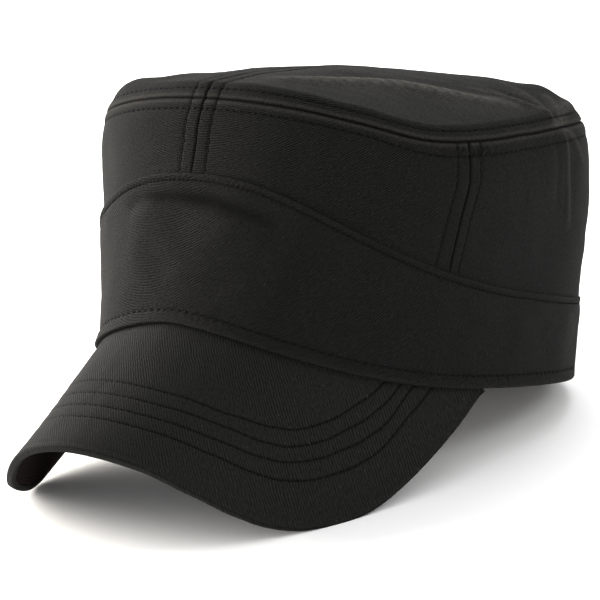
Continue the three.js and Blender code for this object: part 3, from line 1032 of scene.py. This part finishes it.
# The long crease below the band's front edge and the softer folds
front_crease = (
    [(-20, 60), (-14, 63), (-10, 64.2), (-1, 65.2), (5.4, 64.4), (11.5, 62), (17, 60), (23, 56.5)],
    2.5,
    -1.15,
)
band_folds = [
    front_crease,
    ([(-18, 57), (-10, 60.5), (-2, 62), (6, 59.5), (13, 55), (20, 50)], 4.5, 0.8),
    ([(-48, 58), (-36, 58)], 5.0, 0.6),
    ([(45.6, 51), (46.2, 44), (46.8, 37)], 0.8, -0.35),
    ([(68, 26), (80, 24)], 3.0, -0.5),
    ([(66, 9), (76, 7)], 3.0, -0.4),
    ([(10, 24), (15, 22), (20, 21)], 4.0, -0.4),
    ([(-60, 44), (-50, 30), (-44, 20)], 7.0, -0.5),
    ([(84, 40), (100, 20)], 6.0, -0.5),
    ([(130, 22), (150, 12)], 7.0, -0.6),
    ([(-150, 24), (-132, 12)], 7.0, -0.6),
]

band_drill = cotton_drill("black_cotton_drill_band", "#1f1f1e", "#030303", "#2b2a28", 1.0, 0.1)


def band_bottom_height(turn):
    share = np.minimum(fold_turn(turn) / peak_half_turn, 1)
    return peak_arch * np.cos(math.pi / 2 * share**peak_arch_power) ** 2


# The hem stands out over the peak and fades to the band's own line behind it
def hem_outset(turn):
    before_fade = np.clip((peak_half_turn + hem_fade / 2 - fold_turn(turn)) / hem_fade, 0, 1)
    over_peak = before_fade * before_fade * (3 - 2 * before_fade)
    return band_outer + hem_flare * (0.3 + 0.7 * over_peak)


band_turns_table = np.linspace(-180, 180, 14401)
band_table = run_along(wall_point(band_turns_table, 30.0, band_outer))
band_table -= np.interp(0, band_turns_table, band_table)


def along_band(turn):
    return np.interp(turn, band_turns_table, band_table)


# How much farther it is up to a sloping edge than straight across to it
def edge_slope(height, turn):
    climb = (height(turn + 0.5) - height(turn - 0.5)) / mm_per_degree
    return np.sqrt(1 + climb * climb)


def under_band_top(turn, z):
    return (band_top_height(turn) - z) / edge_slope(band_top_height, turn)


def over_band_hem(turn, z):
    return (z - band_bottom_height(turn)) / edge_slope(band_bottom_height, turn)


# The folds and ripples of the band, with fine level ripples in the middle of its front
def band_body(turn, z):
    along = along_band(turn)
    rippled = 0.03 + 0.16 * swell(turn, z, 9, 44, 15, 15)
    soft = folds(band_folds, turn, z) + rippled * unevenness(along / 3.5, z, 5.5, 85)
    return soft + 0.2 * unevenness(along, z, 42, 81) + 0.07 * unevenness(along, z, 15, 82)


# A turned edge is rounded off over this radius
def rounded_off(away, radius):
    return np.sqrt(np.clip(radius**2 - np.clip(radius - away, 0, radius) ** 2, 0, 1)) - radius


# A cushion of turned-in cloth with its middle at this distance from the edge
def cushion(away, middle, half_width):
    return np.clip(1 - ((away - middle) / half_width) ** 2, 0, 1)


# The hem's two ends are joined on each side behind the peak's corner
hem_joins = (83.5, 86.5)


# How far the outer side of the band stands off its plain shape. It lies flatter behind than over the peak.
def band_lift(turn, z):
    along = along_band(turn)
    under_top = under_band_top(turn, z)
    over_hem = over_band_hem(turn, z)
    calm = np.clip((under_top - band_top_row) / 5, 0, 1) * np.clip((over_hem - 1) / 5, 0, 1)
    behind = np.clip((fold_turn(turn) - 95) / 30, 0, 1)
    lift = band_body(turn, z) * calm - behind * (0.35 + 0.35 * np.exp(-((under_top / 4) ** 2)))
    lift = lift + rounded_off(under_top, top_rounding) + 0.12 * cushion(under_top, 1.2, 1.3)
    from_row = under_top - band_top_row
    lift = lift + groove(from_row, 0.34, 0.45) + groove(from_row, 0.14, 1.7)
    force = 0.6 + 0.4 * unevenness(along, 0 * along, 30, 83)
    wander = 0.3 * unevenness(along, 0 * along, 8, 84)
    gathers = np.cos(2 * math.pi * ((along + 0.8 * under_top) / band_top_stitch + wander))
    lift = lift + 0.13 * force * gathers * np.exp(-(((under_top - 1.9) / 1.3) ** 2))
    lip = np.clip(1 - over_hem / hem_height, 0, 1) ** 2
    lift = lift + (hem_outset(turn) - band_outer) * lip * (1 - behind)
    lift = lift + rounded_off(over_hem, hem_rounding)
    lift = lift + 0.3 * (1 - 0.8 * behind) * cushion(over_hem, 2.5, 2.3)
    from_row = over_hem - hem_row
    lift = lift + groove(from_row, 0.38, 0.5) + groove(from_row, 0.2, 2.4) * (1 - behind)
    in_hem = np.clip(-from_row / 0.6, 0, 1)
    for join in hem_joins:
        lift = lift + groove((fold_turn(turn) - join) * mm_per_degree, 0.35, 0.45) * in_hem
    gathers = np.cos(2 * math.pi * ((along + 0.5 * over_hem) / hem_stitch + wander))
    return lift + 0.11 * force * gathers * np.exp(-(((over_hem - 4.4) / 2.2) ** 2))


# The band's ribs run level a little to the right of its middle
level_rib_turn = -12
band_rib_bend = 40


def band_cloth(turn, z):
    from_level = along_band(turn) - along_band(level_rib_turn)
    return np.stack([along_band(turn), z - rib_climb(from_level, band_rib_bend, rib_steepest)], -1)


# The heights of the band's points: some at set distances above the hem's edge, some at even shares between,
# and some at set distances below the upper edge
def band_heights(turn, above_hem, between, below_top):
    low = band_bottom_height(turn) + above_hem[:, None] * edge_slope(band_bottom_height, turn)
    high = band_top_height(turn) - below_top[:, None] * edge_slope(band_top_height, turn)
    return np.concatenate([low, low[-1] + between[:, None] * (high[0] - low[-1]), high])


above_hem = np.array(
    [0, 0.1, 0.28, 0.55, 0.9, 1.3, 1.8, 2.3, 2.8, 3.3, 3.7, 4.0, 4.3, 4.66, 5.0, 5.3, 5.8, 6.5, 7.4]
)
below_top = np.array([4.9, 4.2, 3.6, 3.2, 2.9, 2.5, 2.1, 1.8, 1.4, 1.0, 0.6, 0.36, 0.18, 0.06, 0])
band_places = graded(0.0, band_table[-1], [80.0], 100.0, 0.5, 1.1)
half_turns = np.interp(band_places, band_table, band_turns_table)
band_turns = np.concatenate([-half_turns[:0:-1], half_turns[:-1]])
turns = band_turns[None, :]
outer_z = band_heights(band_turns, above_hem, np.linspace(0, 1, 48)[1:-1], below_top)
inner_z = band_heights(band_turns, np.array([0, 3.0]), np.linspace(0, 1, 24)[1:-1], np.array([5.0, 0]))

# Inside, the folds fade out above the lap's end, where the wall stands against the band
clear_of_lap = 7.6
inner_fade = np.clip((band_top_height(turns) - inner_z - clear_of_lap) / 2, 0, 1)
inner_fade = inner_fade * np.clip(inner_z / 6, 0, 1)
under_top = under_band_top(turns, outer_z)
over_hem = over_band_hem(turns, outer_z)
# Greyed along the upper edge and the hem, with painted shade under both rows of stitches and in the long
# front crease
band_wear_and_painted_shade = 0.2 * np.exp(-((under_top / 0.9) ** 2)) + 0.5 * np.exp(-((over_hem / 1.1) ** 2))
band_wear_and_painted_shade = band_wear_and_painted_shade + painted_row_shade(under_top - band_top_row) + painted_row_shade(over_hem - hem_row)
band_wear_and_painted_shade = band_wear_and_painted_shade + 0.9 * folds([front_crease], turns, outer_z)
band = cloth_sheet(
    "cloth_band",
    wall_point(turns, outer_z, band_outer + band_lift(turns, outer_z)),
    wall_point(turns, inner_z, band_inner + band_body(turns, inner_z) * inner_fade),
    band_cloth(turns + 0 * outer_z, outer_z),
    band_cloth(turns + 0 * inner_z, inner_z),
    band_wear_and_painted_shade,
    around=True,
)
band.data.materials.append(band_drill)
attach(band, "root")
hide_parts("band")


def row_on_band(turn, z):
    lift = band_lift(turn, z)
    path = wall_point(turn, z, band_outer + lift)
    return path, wall_point(turn, z, band_outer + lift + 1) - path


row_turns = np.linspace(-180, 180, 2401)
edge_z = band_top_height(row_turns) - band_top_row * edge_slope(band_top_height, row_turns)
hem_z = band_bottom_height(row_turns) + hem_row * edge_slope(band_bottom_height, row_turns)
band_threads = thread_mesh(
    "band_stitches",
    [
        thread_row(*row_on_band(row_turns, edge_z), band_top_stitch, thread_thickness, band_top_slant),
        thread_row(*row_on_band(row_turns, hem_z), hem_stitch, thread_thickness, hem_slant),
    ],
)
band_threads.data.materials.append(sewing_thread)
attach(band_threads, "root")


# Peak, upper cover
# Two layers of the drill over a stiff inner board, curved down round the forehead. The upper cover turns
# round the rim and runs into a narrow fold below it, and four rows of stitching follow the rim.
peak_length = 141.0
peak_overhang = 1.5
peak_drop = 47.5
peak_sag = 1.0
corner_overhang = 0.3
corner_share = 0.08
corner_thickness = 0.12

# How far down the rim is at a turn, as a share of the drop
rim_heights = [(0, 0.51), (20, 0.614), (40, 0.947), (57, 1.0), (73, 0.638), (90, 0)]

# The rim waves a little, as turn and height, and stands out sideways by its left corner
rim_waves = [
    (-90, 0),
    (-74, 0.8),
    (-65, 1.5),
    (-55, 0.9),
    (-46, 1.5),
    (-34, 0.6),
    (-24, -0.5),
    (-12, 0.4),
    (0, 1.2),
    (19, 1.3),
    (28, 1.8),
    (34, 2.5),
    (40, 1.6),
    (45, 0.4),
    (52, -0.1),
    (57, -0.3),
    (61, -1.0),
    (66, -2.0),
    (71, -1.7),
    (76, -1.0),
    (83, -0.5),
    (90, 0),
]
corner_bulge = 0.9
corner_bulge_turn = 66
corner_bulge_half_turn = 11

# Between band and rim the face sags, and swells on the right
face_swell = 2.0
face_swell_place = -0.36
face_swell_half_width = 0.22

# Thickness over both covers, thickness of the upper one, and the width of its fold below the rim
peak_thickness = 3.0
peak_top_cloth = 1.5
rim_rounding = 0.8
rim_fold = 2.6
seam_gap = 0.3

# Distance of each row of stitches in from the rim, and how it wanders along the peak, as span and distance.
# Span runs from -1 at the peak's right corner to 1 at its left.
peak_rows = [18.98, 25.96, 32.94, 39.92]
peak_row_shifts = [
    [(-1, 0), (-0.1, -0.1), (0.17, -1.2), (0.3, -0.5), (0.45, -0.1), (0.62, 0.7), (0.85, 0), (1, 0)],
    [(-1, 0), (-0.1, -0.1), (0.17, -1.7), (0.3, -1.0), (0.45, 0), (0.62, 2.0), (0.85, -0.4), (1, -0.4)],
    [(-1, 0), (-0.1, -0.1), (0.17, -2.0), (0.3, -1.4), (0.45, -0.8), (0.62, 2.3), (0.85, 0.6), (1, 0.5)],
    [(-1, 0), (-0.1, -0.1), (0.17, -2.4), (0.3, -2.9), (0.45, -0.9), (0.62, 3.2), (0.85, 2.9), (1, 2.5)],
]
peak_stitch = 3.0
peak_thread = 0.36
peak_slant = 0.1

peak_drill = cotton_drill("black_cotton_drill_peak", "#20201f", "#0f0f0f", "#2b2a28", 0.9, 0.08)
corner_plan = wall_point(peak_half_turn, 0.0, 0.0)


# The peak starts just below the band's edge
def peak_inner_edge(span):
    turn = span * peak_half_turn
    return wall_point(turn, band_bottom_height(turn), band_inner) - (0, 0, seam_gap)


# 1 along the peak, down to 0 over a short way at its two corners, where it thins out and runs in under the
# band
def peak_corner(span):
    share = np.clip((1 - np.abs(span)) / corner_share, 0, 1)
    return share * share * (3 - 2 * share)


def peak_rim(span):
    turn = span * 90
    overhang = corner_overhang + (peak_overhang - corner_overhang) * peak_corner(span)
    x = (corner_plan[0] + overhang) * np.sin(np.radians(turn))
    y = corner_plan[1] - peak_length * np.cos(np.radians(turn))
    z = -peak_drop * smooth_share(rim_heights, np.abs(turn), False) - seam_gap
    x = x + corner_bulge * np.exp(-(((turn - corner_bulge_turn) / corner_bulge_half_turn) ** 2))
    return np.stack([x, y, z + smooth_share(rim_waves, turn, True)], -1)


# A point of the upper face, at a share of the way from the band to the rim
def peak_face(span, share):
    point = peak_inner_edge(span) + (peak_rim(span) - peak_inner_edge(span)) * share[..., None]
    sag = peak_sag - face_swell * np.exp(-(((span - face_swell_place) / face_swell_half_width) ** 2))
    return point - np.stack([0 * share, 0 * share, sag * 4 * share * (1 - share)], -1)


def peak_normal(span, share):
    before = np.clip(span, -0.99, 0.99)
    along = peak_face(before + 0.01, share) - peak_face(before - 0.01, share)
    normal = np.cross(peak_rim(span) - peak_inner_edge(span), along)
    return normal / np.linalg.norm(normal, axis=-1, keepdims=True)


def peak_reach(span):
    return np.linalg.norm(peak_rim(span) - peak_inner_edge(span), axis=-1)


# A point a distance out from the band and a depth below the upper face
def peak_point(span, out, depth):
    share = out / peak_reach(span)
    depth = depth * (corner_thickness + (1 - corner_thickness) * peak_corner(span)) + 0 * share
    return peak_face(span, share) - peak_normal(span, share) * depth[..., None]


# How far each row of stitching wanders off its even distance from the rim, and the cloth with it
def row_wander(span, inward):
    marks = [0.0, *peak_rows, 80.0]
    shifts = [0.0, *[smooth_share(table, span, True) for table in peak_row_shifts], 0.0]
    total = 0.0
    for number in range(len(marks) - 1):
        share = np.clip((inward - marks[number]) / (marks[number + 1] - marks[number]), 0, 1)
        total = total + share * (shifts[number + 1] - shifts[number])
    return total


# A point a distance in from the rim, square to it, and a depth below the upper face. Near the corners the
# way from band to rim runs askew to the rim, and counts as no flatter than the least sine.
least_sine = 0.14


def peak_place(span, inward, depth):
    span, inward = np.broadcast_arrays(np.asarray(span, float), inward)
    inward = inward + row_wander(span, inward)
    before = np.clip(span, -0.999, 0.999)
    along = peak_rim(before + 0.001) - peak_rim(before - 0.001)
    rule = peak_rim(span) - peak_inner_edge(span)
    cross = np.linalg.norm(np.cross(along, rule), axis=-1)
    sine = cross / np.linalg.norm(along, axis=-1) / np.linalg.norm(rule, axis=-1)
    out = np.maximum(peak_reach(span) - inward / np.maximum(sine, least_sine), 0)
    return peak_point(span, out, depth)


# The upper face is drawn down along the rows of stitches and a little along the rim
def peak_lift(span, inward):
    lift = 0.0
    for row in peak_rows:
        lift = lift + groove(inward - row, 0.42, 0.5) + groove(inward - row, 0.16, 1.8)
    lift = lift + groove(inward - 3.2, 0.12, 0.6)
    place = peak_place(span, inward, 0.0)
    x, y = place[..., 0], place[..., 1]
    calm = np.clip(inward / 6, 0, 1)
    return lift + calm * (0.16 * unevenness(x, y, 40, 91) + 0.05 * unevenness(x, y, 12, 92))


# The place on the flat cloth: the peak slopes down by about 39 degrees, and its ribs run 37 degrees off
# straight ahead
peak_slope = math.radians(39)
peak_rib_angle = math.radians(37)


def peak_cloth_place(point):
    outward = -point[..., 1] * math.cos(peak_slope) - point[..., 2] * math.sin(peak_slope)
    sine, cosine = math.sin(peak_rib_angle), math.cos(peak_rib_angle)
    return np.stack(
        [point[..., 0] * sine + outward * cosine, point[..., 0] * cosine - outward * sine], -1
    )


# Lines of points along the peak, closest at the rim and at the rows of stitches, with one midway from row to
# row. Those past the band's edge fall together on it.
row_offsets = np.array([-2.2, -1.2, -0.7, -0.35, 0, 0.35, 0.7, 1.2, 2.2])
rows_in = np.array(peak_rows)
peak_inward = np.concatenate(
    [
        [rim_rounding, 1.4, 2.0, 2.6, 2.9, 3.2, 3.5, 4.2],
        np.linspace(5.5, 16, 8),
        (rows_in[:, None] + row_offsets).ravel(),
        rows_in[:-1] + 3.49,
        np.linspace(43.2, 180, 75),
    ]
)
peak_inward = np.sort(peak_inward)[::-1]
span_table = np.linspace(-1, 1, 4001)
rim_table = run_along(peak_rim(span_table))


def even_spans(count):
    return np.interp(np.linspace(0, rim_table[-1], count), rim_table, span_table)


peak_spans = even_spans(361)


# The seam allowance of the upper cover runs up inside the band, its outer and inner sides this far in from
# the band's inner side
tuck_heights = [6.0, 3.0, 0.8]
tuck_outer = 0.35
tuck_inner = 1.7


def peak_tuck(outset):
    turn = peak_spans * peak_half_turn
    return np.stack([wall_point(turn, band_bottom_height(turn) + h, outset) for h in tuck_heights])


reach = peak_reach(peak_spans)
fold = np.minimum(rim_fold, reach * 0.6)
rounding = np.minimum(rim_rounding, reach * 0.3)
face = peak_place(peak_spans, peak_inward[:, None], -peak_lift(peak_spans, peak_inward[:, None]))
edge_angles = np.radians(np.linspace(0, 90, 5))
rim_outs = [reach - rounding * (1 - math.sin(angle)) for angle in edge_angles]
rim_depths = [rounding * (1 - math.cos(angle)) for angle in edge_angles]
rim_lines = [peak_point(peak_spans, out, depth) for out, depth in zip(rim_outs, rim_depths)]
rim_lines += [
    peak_point(peak_spans, out, peak_thickness - depth)
    for out, depth in zip(rim_outs[::-1], rim_depths[::-1])
]
rim_lines.append(peak_point(peak_spans, reach - fold, peak_thickness + 0 * reach))
outer = np.concatenate([peak_tuck(band_inner - tuck_outer), face, np.stack(rim_lines)])
inner_face = [
    peak_point(peak_spans, share * (reach - fold), peak_top_cloth + 0 * reach)
    for share in np.linspace(0, 1, 9)
]
inner = np.concatenate([peak_tuck(band_inner - tuck_inner), np.stack(inner_face)])

# Wear and painted light from the seam allowance over the face to the rim and its fold, line by line: greyed
# along the rim, painted shade under the rows of stitches and on the rim's upper corner, and a painted shadow
# line at the end of the fold
face_wear_and_painted_shade = 0.25 * np.exp(-((peak_inward / 1.6) ** 2))
face_wear_and_painted_shade = face_wear_and_painted_shade + sum(painted_row_shade(peak_inward - row, 0.75) for row in peak_rows)
rim_wear_and_painted_shade = [-0.5, -0.35, -0.1, 0.0, 0.1, 0.1, 0.0, -0.1, -0.3, -0.6, -0.95]
wear_and_painted_light = np.concatenate([np.zeros(len(tuck_heights)), face_wear_and_painted_shade, rim_wear_and_painted_shade])
peak_top = cloth_sheet(
    "cloth_peak_top",
    outer,
    inner,
    peak_cloth_place(outer),
    peak_cloth_place(inner),
    wear_and_painted_light[:, None] + np.zeros(outer.shape[:2]),
)
peak_top.data.materials.append(peak_drill)
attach(peak_top, "root")
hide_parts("peak_top")


# Peak, under cover
# A plainer, finer and duller drill facing below the board, stitched through with the same four rows. It ends
# at the upper cover's fold.
under_drill = cotton_drill("black_cotton_drill_facing", "#2b2725", "#141211", "#302d2b", 0.8, 0.05, 0.0)
under_inward = np.concatenate(
    [
        np.linspace(5.5, 16, 6),
        (rows_in[:, None] + row_offsets[1:-1]).ravel(),
        np.linspace(43.2, 180, 60),
    ]
)
under_inward = np.sort(under_inward)[::-1]
under_end = np.maximum(reach - fold - seam_gap, reach * 0.2)
under_lines = peak_place(peak_spans, under_inward[:, None], 0.0) - peak_inner_edge(peak_spans)
outs = np.minimum(np.linalg.norm(under_lines, axis=-1), under_end)
grooves = sum(groove(under_inward - row, 0.25, 0.6) for row in peak_rows)[:, None] + 0 * outs
lower = np.stack([peak_point(peak_spans, o, peak_thickness + g) for o, g in zip(outs, grooves)])
lower = np.concatenate([lower, peak_point(peak_spans, under_end, peak_thickness + 0 * reach)[None]])
upper = np.stack(
    [
        peak_point(peak_spans, share * under_end, peak_top_cloth + seam_gap + 0 * reach)
        for share in np.linspace(0, 1, 7)
    ]
)
peak_under = cloth_sheet(
    "cloth_peak_under",
    lower,
    upper,
    peak_cloth_place(lower),
    peak_cloth_place(upper),
    np.zeros(lower.shape[:2]),
)
peak_under.data.materials.append(under_drill)
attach(peak_under, "root")
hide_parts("peak_under")


# A row of stitches on the upper side, or with side -1 on the under side. It ends short of the band.
row_end = 2.2


def peak_row(inward, side):
    spans = even_spans(1201)
    depth = -peak_lift(spans, inward) if side > 0 else peak_thickness - 0.25 + 0 * spans
    path = peak_place(spans, inward + 0 * spans, depth)
    beyond = peak_place(spans, inward + 0 * spans, depth - side)
    kept = np.linalg.norm(path - peak_inner_edge(spans), axis=-1) > row_end
    return path[kept], (beyond - path)[kept]


peak_thread_rows = [peak_row(row, side) for row in peak_rows for side in (1, -1)]
peak_threads = thread_mesh(
    "peak_stitches",
    [thread_row(*row, peak_stitch, peak_thread, peak_slant) for row in peak_thread_rows],
)
peak_threads.data.materials.append(sewing_thread)
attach(peak_threads, "root")


# Floor, light and camera
# A plain pale studio: a wide matt white floor, a broad soft light from the cap's right, a weak one from the
# front left, and two from behind that pick out the folds of the top and the back corner. Lengths are metres
# here, and powers are watts.
floor_half = 6
floor_corners = [(x * floor_half, y * floor_half, 0) for x, y in ((-1, -1), (1, -1), (1, 1), (-1, 1))]
floor_mesh = bpy.data.meshes.new("studio_floor")
floor_mesh.from_pydata(floor_corners, [], [(0, 1, 2, 3)])
floor_sheet = place_in_scene("studio_floor", floor_mesh)
floor_paint = bpy.data.materials.new("matt_white_paper")
floor_paint.use_nodes = True
floor_shader = floor_paint.node_tree.nodes["Principled BSDF"]
floor_shader.inputs["Base Color"].default_value = linear("#fefefe")
floor_shader.inputs["Roughness"].default_value = 0.95
floor_shader.inputs["Specular IOR Level"].default_value = 0.1
floor_mesh.materials.append(floor_paint)

studio = bpy.data.worlds.new("studio_air")
bpy.context.scene.world = studio
studio.use_nodes = True
air = studio.node_tree.nodes["Background"]
air.inputs["Color"].default_value = linear("#ffffff")
air.inputs["Strength"].default_value = 1.02


# A round softbox that faces the cap from this side and height
cap_middle = Vector((0, 0, 0.06))


def soft_light(name, azimuth, elevation, distance, size, power, colour):
    lamp = bpy.data.lights.new(name, "AREA")
    lamp.shape = "DISK"
    lamp.size = size
    lamp.energy = power
    lamp.color = linear(colour)[:3]
    turn, rise = math.radians(azimuth), math.radians(elevation)
    away = Vector((math.sin(turn) * math.cos(rise), -math.cos(turn) * math.cos(rise), math.sin(rise)))
    light = place_in_scene(name, lamp)
    light.location = away * distance + cap_middle
    light.rotation_euler = away.to_track_quat("Z", "Y").to_euler()


soft_light("key_softbox", -80, 11, 1.4, 1.3, 82, "#fffaf2")
soft_light("fill_softbox", 25, 10, 1.6, 0.8, 3.5, "#ffffff")
soft_light("rim_softbox", 115, 30, 1.5, 0.5, 3.5, "#ffffff")
soft_light("back_softbox", -150, 42, 1.6, 1.2, 19, "#ffffff")

# The camera, fitted to the photograph in the cap's worn position: scale is pixels to a millimetre at the
# centre, and shift is in pixels
image_size = 600
view_azimuth = math.radians(37.158)
view_rise = math.radians(2.308)
view_roll = math.radians(2.815)
view_distance = 1415.714
view_scale = 2.6057
view_shift = (-18.664, -47.315)
view_centre = np.array([0.0, -15.0, 45.0])
back = np.array(
    [
        math.sin(view_azimuth) * math.cos(view_rise),
        -math.cos(view_azimuth) * math.cos(view_rise),
        math.sin(view_rise),
    ]
)
right = np.array([math.cos(view_azimuth), math.sin(view_azimuth), 0.0])
up = np.cross(back, right)
rolled_right = right * math.cos(view_roll) + up * math.sin(view_roll)
rolled_up = up * math.cos(view_roll) - right * math.sin(view_roll)
lens = bpy.data.cameras.new("studio_camera")
lens.sensor_width = 36.0
lens.lens = lens.sensor_width * view_scale * view_distance / image_size
lens.shift_x = view_shift[0] / image_size
lens.shift_y = view_shift[1] / image_size
lens.clip_end = 50.0
camera = place_in_scene("studio_camera", lens)
origin = to_world(np.zeros(3))
axes = np.stack([to_world(axis * 1000) - origin for axis in (rolled_right, rolled_up, back)], 1)
place = to_world(view_centre + view_distance * back)
camera.matrix_world = Matrix([[*axes[row], place[row]] for row in range(3)] + [[0, 0, 0, 1]])
bpy.context.scene.camera = camera
bpy.context.scene.view_settings.view_transform = "Standard"
